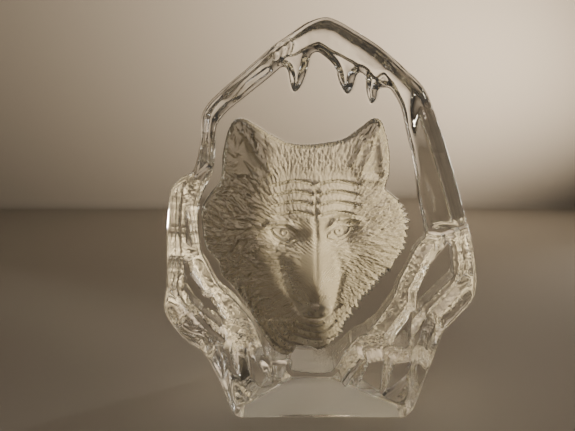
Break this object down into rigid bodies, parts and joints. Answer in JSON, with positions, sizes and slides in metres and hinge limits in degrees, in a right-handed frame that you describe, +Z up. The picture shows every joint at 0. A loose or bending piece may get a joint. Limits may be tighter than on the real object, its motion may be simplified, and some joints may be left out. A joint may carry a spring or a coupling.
{
  "type": "crystal wolf sculpture",
  "caption": "Free-standing clear crystal block with an icicle frame and a frosted wolf head sunk into the back of its pane.",
  "frame": {"origin": "middle of the flat underside", "axes": "+Z up, +Y from the flat front face towards the carved back, +X to the viewer's right"},
  "size_m": [0.129, 0.054, 0.165],
  "materials": {
    "clear_crystal": "fire-polished clear lead crystal",
    "frosted_crystal": "satin-frosted crystal, polished a little on the high fur tips"
  },
  "bodies": {
    "root": {"crystal_block": "clear_crystal", "wolf_relief": "frosted_crystal"}
  },
  "joints": []
}
